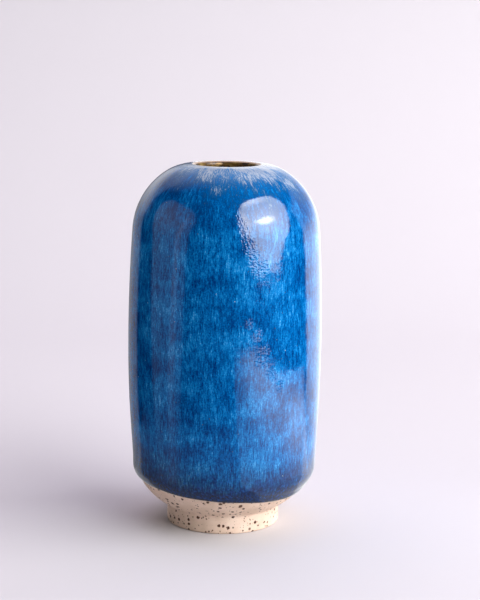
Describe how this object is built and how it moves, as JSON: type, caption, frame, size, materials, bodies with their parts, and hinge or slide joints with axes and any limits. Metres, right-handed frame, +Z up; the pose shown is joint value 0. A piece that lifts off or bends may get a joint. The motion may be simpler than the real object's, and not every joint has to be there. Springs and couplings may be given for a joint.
{
  "type": "bud vase",
  "caption": "round-shouldered stoneware bud vase with a narrow mouth, blue glaze outside, gold-brown glaze inside and a bare clay foot",
  "frame": {"origin": "on the table under the middle of the foot ring", "axes": "+Z up the vase's axis and out of the mouth; -Y is the front; the glaze line runs lower towards +X"},
  "size_m": [0.085, 0.085, 0.159],
  "materials": {
    "bare_clay": "unglazed cream stoneware with dark iron specks, matt and lightly sanded",
    "blue_glaze": "glossy streaked cobalt blue, breaking to milky lavender round the mouth",
    "gold_brown_glaze": "glossy gold-brown liner glaze with a metallic sheen"
  },
  "bodies": {
    "root": {"stoneware_body": "bare_clay", "outer_glaze": "blue_glaze", "inner_glaze": "gold_brown_glaze"}
  },
  "joints": []
}
